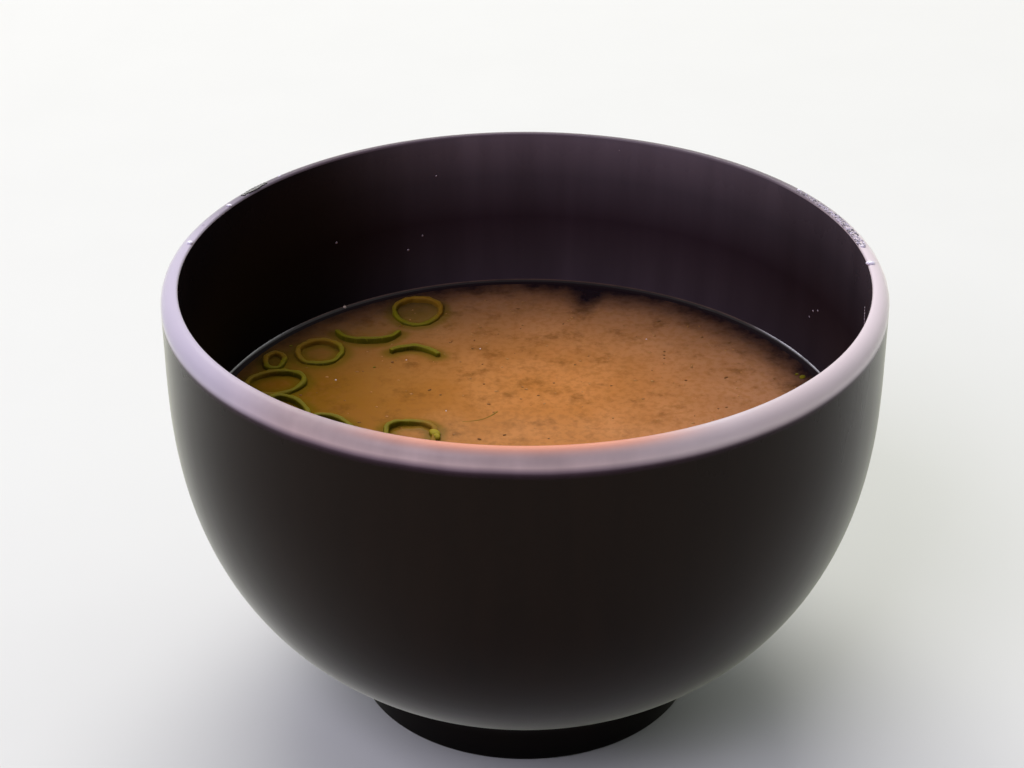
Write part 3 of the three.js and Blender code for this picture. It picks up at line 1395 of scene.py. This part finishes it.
@dataclass
class OnionSlice:
    """A slice across a spring onion leaf: a thin-walled ring or part of one.

    Its path is a superellipse with lobes, as in the frame, and it is set so that it fills
    its node's box. It is bare in one direction and has a film of cloud on the other side.
    """

    node: str
    half_x: float
    half_y: float
    power: float = 2.0
    turn: float = 0.0
    start: float = 0.0
    sweep: float = 360.0
    lobes: int = 5
    wave: float = 0.02
    raised: float = 90.0
    tip: float = 4.0
    step: float = 5.0
    bare: float = -90.0
    film: float = 0.0
    film_from: float = -0.75
    film_to: float = 0.45

    def path_point(self, degrees: float) -> Vector:
        """Finds a point of the path about its own centre.

        Args:
            degrees: The angle along the superellipse.

        Returns:
            The point, in millimetres.
        """
        angle = math.radians(degrees)
        swell = 1 + self.wave * math.sin(self.lobes * angle)
        along, across = (
            math.copysign(abs(part) ** (2 / self.power), part)
            for part in (math.cos(angle), math.sin(angle))
        )
        point = Vector((self.half_x * swell * along, self.half_y * swell * across, 0))
        return Matrix.Rotation(math.radians(self.turn), 4, "Z") @ point

    def tilt(self) -> Matrix:
        """Tips the slice towards its raised side.

        Returns:
            The turn about a level hinge.
        """
        raised = math.radians(self.raised)
        hinge = Vector((math.sin(raised), -math.cos(raised), 0))
        return Matrix.Rotation(math.radians(self.tip), 4, hinge)

    def path(self) -> list[Vector]:
        """Draws the top edge.

        Returns:
            Its points in metres, centred in the node's box.
        """
        closed = self.sweep >= 360
        steps = round(self.sweep / self.step)
        count = steps if closed else steps + 1
        flat = [self.path_point(self.start + self.sweep * i / steps) for i in range(count)]
        tipped = [self.tilt() @ (point * MM) for point in flat]
        low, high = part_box(self.node)
        centre = (low + high) / 2
        middle = [(min(p[a] for p in tipped) + max(p[a] for p in tipped)) / 2 for a in (0, 1)]
        top = high.z - max(p.z for p in tipped)
        shift = Vector((centre.x - middle[0], centre.y - middle[1], top))
        return [point + shift for point in tipped]

    def build(self) -> bpy.types.Object:
        """Models the slice and marks the film on it.

        Returns:
            The finished wall.
        """
        down = self.tilt() @ -UP
        piece = LeafWall().build(self.node + "_slice", self.path(), down, self.sweep >= 360)
        low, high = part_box(self.node)
        centre = (low + high) / 2
        side = on_circle(self.bare)
        values = []
        for vertex in piece.data.vertices:
            away = Vector((vertex.co.x - centre.x, vertex.co.y - centre.y, 0)).normalized()
            values.append(self.film * smooth_step(self.film_from, self.film_to, -away.dot(side)))
        mark_points(piece, "film", values)
        return piece


@dataclass
class SpringOnion:
    """All the onion that floats in the soup, mostly near its left side."""

    soup_level: float
    # The shred's ends, its bow in the middle and its make.
    shred_start: tuple[float, float, float] = (-10.2, 2.1, 0.02)
    shred_end: tuple[float, float, float] = (-4.5, 5.4, 0.05)
    shred_bow: tuple[float, float, float] = (0.5, -0.8, 0)
    shred_steps: int = 8
    shred_leaf: LeafWall = LeafWall(wall=0.34, cut=0.5, levels=1, unevenness=0.1)
    # Each loose bit's place in the bowl and its width.
    crumb_places: tuple[tuple[float, float, float], ...] = (
        (46.6, 17.0, 1.5),
        (45.7, 17.9, 0.8),
        (-40.3, 28.0, 0.7),
        (-25.5, 20.4, 0.5),
    )
    crumb_thickness: float = 0.3
    # How far a bit is turned for each millimetre of its width, so that no two lie alike.
    crumb_turn: float = 40.0
    heart_turn: float = 15.0
    heart_places: tuple[tuple[float, float, float], ...] = ((-14.5, -2.0, 2.4), (-14.1, -3.2, 1.6))
    heart_rise: float = 0.25
    heart_thickness: float = 0.9
    bit_slimness: float = 0.7

    def slices(self) -> list[OnionSlice]:
        """Lists the slices that the frame holds.

        Returns:
            The slices, not yet built.
        """
        return [
            OnionSlice("onion_round", 3.75, 3.75, wave=0.025, bare=-50, film=0.8),
            OnionSlice("onion_far_ring", 4.1, 4.6, lobes=3, wave=0.04, bare=-120, film=0.95),
            OnionSlice("onion_wavy_arc", 5.6, 4.1, start=190, sweep=160, raised=270),
            OnionSlice("onion_strip", 4.3, 3.0, turn=-8, start=18, sweep=142),
            OnionSlice("onion_long_ring", 4.8, 3.5, turn=14, lobes=3, bare=10, film=0.5),
            OnionSlice("onion_wall_ring", 1.6, 2.6, tip=2, bare=-60, film=0.8),
            OnionSlice("onion_pointed_ring", 4.9, 5.3, power=1.5, wave=0, bare=45, film=0.5),
            OnionSlice("onion_near_arc", 5.3, 5.7, start=-75, sweep=180),
            OnionSlice("onion_square_ring", 3.9, 3.7, power=3.2, raised=150, bare=150, film=0.9),
        ]

    def shred(self) -> bpy.types.Object:
        """Builds the thin shred that lies just under the surface near the middle.

        Returns:
            The finished piece.
        """
        level = UP * self.soup_level
        start, end = Vector(self.shred_start) + level, Vector(self.shred_end) + level
        path = []
        for i in range(self.shred_steps + 1):
            part = i / self.shred_steps
            bow = Vector(self.shred_bow) * math.sin(math.pi * part)
            path.append((start.lerp(end, part) + bow) * MM)
        piece = self.shred_leaf.build("onion_shred", path, -UP, False)
        mark_points(piece, "film", [1.0] * len(piece.data.vertices))
        return piece

    def crumbs(self) -> bpy.types.Object:
        """Builds the scrap of leaf near the right of the wall.

        Returns:
            The finished piece.
        """
        spots = []
        for x, y, width in self.crumb_places:
            size = (width, width * self.bit_slimness, self.crumb_thickness)
            place = Vector((x, y, self.soup_level)) * MM
            spots.append(Spot(place, UP, size, self.crumb_turn * width))
        return Workbench.strew("onion_crumbs", Workbench.blob("crumb", 2, 0.07), spots)

    def heart(self) -> bpy.types.Object:
        """Builds the pale yellow-green bit of the onion's heart beside the square ring.

        Returns:
            The finished piece.
        """
        spots = []
        for x, y, width in self.heart_places:
            size = (width * self.bit_slimness, width, self.heart_thickness)
            place = Vector((x, y, self.soup_level + self.heart_rise)) * MM
            spots.append(Spot(place, UP, size, self.heart_turn * width))
        return Workbench.strew("onion_heart", Workbench.blob("bit", 3, 0.03), spots)

    def build(self) -> list[bpy.types.Object]:
        """Builds every slice and the loose bits, and dresses them.

        Returns:
            The slices.
        """
        leaf = OnionLeaf().material()
        slices = [ring.build() for ring in self.slices()]
        for piece, ring in zip(slices, self.slices()):
            piece.data.materials.append(leaf)
            hand_over(piece, Slot.ONION, ring.node)
        heart = OnionLeaf("spring_onion_heart", skin="#8d7c1e", skin_dark="#7c6a16", cut="#978622")
        pale = heart.material()
        for piece, finish in ((self.shred(), leaf), (self.crumbs(), leaf), (self.heart(), pale)):
            piece.data.materials.append(finish)
            hand_over(piece, Slot.ONION)
        return slices


# ---- Soup -----------------------------------------------------------------------------


@dataclass
class MisoSoup:
    """The soup: one body up to its level, with a meniscus at the wall and round the onion."""

    bowl: LacqueredBowl
    level: float = 45.3
    meniscus_rise: float = 0.85
    meniscus_reach: float = 2.4
    meniscus_power: float = 2.6
    meniscus_steps: int = 14
    film_width: float = 1.0
    sink_in_wall: float = 0.12
    side_steps: int = 22
    ring_step: float = 0.5
    turn_steps: int = 340
    climb: float = 0.03
    climb_reach: float = 0.8
    leaf_reach: float = 1.6
    surface_depth: float = 0.01
    waterline_height: float = 0.7
    # Each haze of green: its place, its reach and its strength.
    green_patches: tuple[tuple[float, float, float, float], ...] = (
        (-19.0, 40.0, 6.5, 0.8),
        (-27.0, 33.0, 5.0, 0.35),
        (-38.0, 22.0, 7.0, 0.45),
        (-38.0, 8.0, 7.0, 0.35),
    )
    cloud_fade: float = 7.0
    # The radius of the cloud's edge by direction, in degrees from +X towards +Y.
    cloud_edge: tuple[tuple[float, float], ...] = (
        (0, 48.6),
        (20, 47.6),
        (36, 47.2),
        (62, 47.8),
        (71, 47.0),
        (76.5, 43.4),
        (82, 47.2),
        (92, 48.2),
        (108, 48.0),
        (127, 48.6),
        (138, 49.4),
        (150, 50.4),
        (166, 50.4),
        (230, 50.6),
        (300, 50.2),
        (360, 48.6),
    )
    grain_count: int = 320
    grain_reach: float = 47.0
    grain_sink: float = 0.02
    grain_widths: tuple[float, float] = (0.22, 0.62)
    grain_stretch: tuple[float, float] = (1.0, 1.8)
    grain_thickness: float = 0.16
    bubble_height: float = 0.8
    # Each bubble's place, its rise above the level and its width.
    bubbles: tuple[tuple[float, float, float, float], ...] = (
        (-32.0, 41.6, 0.55, 0.7),
        (-31.7, 16.0, 0.0, 0.32),
        (-20.2, 23.0, 0.0, 0.28),
        (-12.9, 5.6, 0.0, 0.3),
        (-7.7, 27.0, 0.0, 0.3),
        (21.0, 30.5, 0.0, 0.26),
    )

    def profile(self) -> list[tuple[float, float]]:
        """Draws the profile.

        Returns:
            Its points from the axis at the bottom to the axis at the top.
        """
        wall = self.bowl.inner
        deep = WallCurve(
            wall.radius + self.sink_in_wall, wall.level, wall.drop + self.sink_in_wall, wall.power
        )
        top = self.level + self.meniscus_rise
        side = deep.points(math.pi / 2, deep.turn_at_height(top), self.side_steps)
        contact = side[-1][0]
        curve = []
        for i in range(1, self.meniscus_steps + 1):
            part = i / self.meniscus_steps
            rise = self.meniscus_rise * (1 - part) ** self.meniscus_power
            curve.append((contact - self.meniscus_reach * part, self.level + rise))
        rings = int(curve[-1][0] / self.ring_step)
        flat = [(curve[-1][0] * (1 - i / rings), self.level) for i in range(1, rings + 1)]
        return [*side, *curve, *flat]

    def build(self, slices: Sequence[bpy.types.Object]) -> bpy.types.Object:
        """Turns the soup and lets it climb the onion.

        Args:
            slices: The onion that floats in it.

        Returns:
            The finished piece.
        """
        points = [Vector((r * MM, 0, z * MM)) for r, z in tidy_profile(self.profile())]
        piece = Workbench.draw_chain("soup_broth", points)
        Workbench.spin(piece, self.turn_steps)
        self.mark(piece, slices)
        Workbench.modify(
            piece,
            "DISPLACE",
            direction="Z",
            mid_level=0.0,
            strength=self.climb * MM,
            vertex_group="climb",
        )
        piece.data.materials.append(MisoBroth().material())
        piece.data.materials.append(ClearDashi(self.level).material())
        film = self.bowl.inner.radius_at(self.level) - self.film_width
        for face in piece.data.polygons:
            at_wall = face.center.xy.length > film * MM and face.center.z > self.level * MM
            face.material_index = 1 if at_wall else 0
        Workbench.smooth(piece)
        hand_over(piece, Slot.SOUP, "soup")
        return piece

    def edge_at(self, degrees: float) -> float:
        """Finds the radius of the cloud's edge in a direction.

        Args:
            degrees: The direction, from +X towards +Y.

        Returns:
            The radius at which the broth is half clear.
        """
        for (start, first), (end, second) in zip(self.cloud_edge, self.cloud_edge[1:]):
            if start <= degrees <= end:
                return first + (second - first) * smooth_step(start, end, degrees)
        return self.cloud_edge[0][1]

    def mark(self, piece: bpy.types.Object, slices: Sequence[bpy.types.Object]) -> None:
        """Marks where the surface climbs the onion, shows its green and is clear.

        Args:
            piece: The soup.
            slices: The onion that floats in it.
        """
        group = piece.vertex_groups.new(name="climb")
        count = len(piece.data.vertices)
        leaf, clear = [0.0] * count, [1.0] * count
        cells = self.waterline_cells(slices)
        size = self.cell_size()
        for vertex in piece.data.vertices:
            if vertex.co.z < (self.level - self.surface_depth) * MM:
                continue
            spot = vertex.co.xy
            turn = math.degrees(math.atan2(spot.y, spot.x)) % 360
            edge = self.edge_at(turn)
            radius = spot.length / MM
            clear[vertex.index] = smooth_step(edge - self.cloud_fade, edge + self.cloud_fade, radius)
            for x, y, reach, strength in self.green_patches:
                gap = math.hypot(spot.x / MM - x, spot.y / MM - y)
                leaf[vertex.index] = max(leaf[vertex.index], strength * math.exp(-((gap / reach) ** 2)))
            column, row = int(spot.x // size), int(spot.y // size)
            around = [(column + i, row + j) for i in (-1, 0, 1) for j in (-1, 0, 1)]
            near = [point for cell in around for point in cells.get(cell, ())]
            if near:
                gap = min((point - spot).length for point in near) / MM
                leaf[vertex.index] = max(leaf[vertex.index], math.exp(-((gap / self.leaf_reach) ** 2)))
                group.add([vertex.index], math.exp(-((gap / self.climb_reach) ** 2)), "REPLACE")
        mark_points(piece, "leaf", leaf)
        mark_points(piece, "clear", clear)

    def cell_size(self) -> float:
        """Returns the width of the cells that sort the waterline, in metres."""
        return 3 * self.leaf_reach * MM

    def waterline_cells(
        self, slices: Sequence[bpy.types.Object]
    ) -> dict[tuple[int, int], list[Vector]]:
        """Sorts the onion's points near the soup's level into square cells.

        Args:
            slices: The onion that floats in it.

        Returns:
            For each cell's column and row, the points in it.
        """
        cells: dict[tuple[int, int], list[Vector]] = {}
        size = self.cell_size()
        for ring in slices:
            for point in ring.data.vertices:
                if abs(point.co.z - self.level * MM) < self.waterline_height * MM:
                    spot = point.co.xy
                    cells.setdefault((int(spot.x // size), int(spot.y // size)), []).append(spot)
        return cells

    def grains(self) -> bpy.types.Object:
        """Strews soaked grains of bean and malt over the cloud.

        Returns:
            The finished piece.
        """
        spots = []
        for _ in range(self.grain_count):
            radius = self.grain_reach * math.sqrt(random.random())
            place = on_circle(random.uniform(0, 360)) * radius + UP * (self.level - self.grain_sink)
            width = random.uniform(*self.grain_widths)
            size = (width * random.uniform(*self.grain_stretch), width, self.grain_thickness)
            spots.append(Spot(place * MM, UP, size, random.uniform(0, 360)))
        piece = Workbench.strew("miso_grains", Workbench.blob("grain", 1, 0.08), spots)
        finish = Speckle("miso_grain", "#70471f", "#b07c45", roughness=0.6, ior=1.2, coat=0.0)
        piece.data.materials.append(finish.material())
        hand_over(piece, Slot.SOUP)
        return piece

    def froth(self) -> bpy.types.Object:
        """Builds the few bubbles on the surface and the one on the meniscus.

        Returns:
            The finished piece.
        """
        spots = [
            Spot(Vector((x, y, self.level + rise)) * MM, UP, (width, width, width * self.bubble_height))
            for x, y, rise, width in self.bubbles
        ]
        piece = Workbench.strew("soup_bubbles", Workbench.blob("bubble", 3, 0.02), spots)
        # The bubbles are real, and their pale colour is partly a painted highlight for their glints.
        piece.data.materials.append(Speckle("soup_bubble", "#d8c0b0", "#efe4e6").material())
        hand_over(piece, Slot.SOUP)
        return piece


# ---- Studio ---------------------------------------------------------------------------


@dataclass(frozen=True)
class Softbox:
    """One soft light: its centre, width and height in metres, its power and its colour."""

    name: str
    place: tuple[float, float, float]
    width: float
    height: float
    watts: float
    tint: str


@dataclass
class Studio:
    """Camera, pale floor and soft light. Places in metres, angles in degrees, lens in millimetres."""

    lip_height: float
    aim_below_lip: float = 0.00107
    distance: float = 0.3528
    elevation: float = 26.44
    pitch: float = 29.2
    lens: float = 79.7
    sensor: float = 36.0
    shift_x: float = -0.0127
    floor_size: float = 6.0
    floor_colour: str = "#e2e4e1"
    floor_shade: str = "#dfe1de"
    floor_pattern: Pattern = Pattern(30.0, 3)
    floor_roughness: float = 0.9
    floor_ior: float = 1.3
    room_colour: str = "#e9ece8"
    # How the room's light changes along an axis: the axis, where, and from what to what.
    room_sides: tuple[tuple[str, float, float, float, float], ...] = (
        ("Y", -0.6, 0.5, 0.03, 0.9),
        ("X", -0.1, -0.75, 1.0, 1.1),
        ("X", 0.1, 0.75, 1.0, 1.15),
    )
    softboxes: tuple[Softbox, ...] = (
        Softbox("window_behind", (-0.15, 1.05, 1.42), 1.3, 1.1, 22.0, "#fffaf6"),
        Softbox("sky_in_front", (-0.75, -0.95, 1.35), 1.0, 1.0, 16.0, "#e9e3fc"),
    )

    def camera(self) -> None:
        """Sets the camera in front of the bowl, looking down on the soup."""
        data = bpy.data.cameras.new("camera")
        data.lens = self.lens
        data.sensor_width = self.sensor
        data.shift_x = self.shift_x
        camera = bpy.data.objects.new("camera", data)
        bpy.context.scene.collection.objects.link(camera)
        rise = math.radians(self.elevation)
        camera.location = (
            0,
            -self.distance * math.cos(rise),
            self.lip_height - self.aim_below_lip + self.distance * math.sin(rise),
        )
        camera.rotation_euler = (math.radians(90 - self.pitch), 0, 0)
        bpy.context.scene.camera = camera

    def floor(self) -> None:
        """Lays the pale floor, in matt paper."""
        Workbench.clear()
        bpy.ops.mesh.primitive_plane_add(size=self.floor_size)
        floor = bpy.context.object
        floor.name = "floor"
        finish = Finish()
        material, tree, place = finish.start("matt_paper_backdrop")
        grain = add_node(tree, Kind.NOISE, {"Vector": place, **self.floor_pattern.inputs()})
        tones = {SHARE: grain, FIRST: linear(self.floor_colour), SECOND: linear(self.floor_shade)}
        colour = (add_node(tree, Kind.MIX, tones, data_type="RGBA"), MIXED)
        finish.close(
            tree, {"Base Color": colour, "Roughness": self.floor_roughness, "IOR": self.floor_ior}
        )
        floor.data.materials.append(material)

    def shine(self, box: Softbox) -> None:
        """Adds a softbox that faces the bowl.

        Args:
            box: The softbox.
        """
        data = bpy.data.lights.new(box.name, "AREA")
        data.shape = "RECTANGLE"
        data.size, data.size_y = box.width, box.height
        data.energy = box.watts
        data.color = linear(box.tint)[:3]
        light = bpy.data.objects.new(box.name, data)
        bpy.context.scene.collection.objects.link(light)
        light.location = box.place
        aim = Vector((0, 0, self.lip_height)) - Vector(box.place)
        light.rotation_euler = aim.to_track_quat("-Z", "Y").to_euler()

    def world(self) -> None:
        """Gives the room its soft grey, lighter behind the bowl than before it."""
        world = bpy.data.worlds.new("studio")
        bpy.context.scene.world = world
        world.use_nodes = True
        tree = world.node_tree
        tree.nodes.clear()
        split = add_node(tree, Kind.SPLIT, {"Vector": (add_node(tree, Kind.PLACE), "Generated")})
        light: bpy.types.Node | None = None
        for axis, start, end, first, last in self.room_sides:
            span = {
                "Value": (split, axis),
                "From Min": start,
                "From Max": end,
                "To Min": first,
                "To Max": last,
            }
            part = add_node(tree, Kind.RANGE, span, **SMOOTH)
            if light:
                part = add_node(tree, Kind.MATH, {"0": light, "1": part}, operation="MULTIPLY")
            light = part
        room = add_node(tree, Kind.ROOM, {"Color": linear(self.room_colour), "Strength": light})
        add_node(tree, Kind.ROOM_OUTPUT, {"Surface": room})

    def build(self) -> None:
        """Sets up all of it, with plain display colours."""
        self.camera()
        self.floor()
        self.world()
        for box in self.softboxes:
            self.shine(box)
        bpy.context.scene.view_settings.view_transform = "Standard"


# ---- Making ---------------------------------------------------------------------------


def main() -> None:
    """Builds the bowl, the onion and the soup in order, then the studio."""
    logging.basicConfig(level=logging.INFO, format="%(name)s %(message)s")
    random.seed(SEED)
    bowl = LacqueredBowl.from_frame()
    bowl.build()
    Condensation(bowl).build()
    soup = MisoSoup(bowl)
    slices = SpringOnion(soup.level).build()
    soup.build(slices)
    soup.grains()
    soup.froth()
    Studio(lip_height=bowl.height * MM).build()


if __name__ == "__main__":
    main()
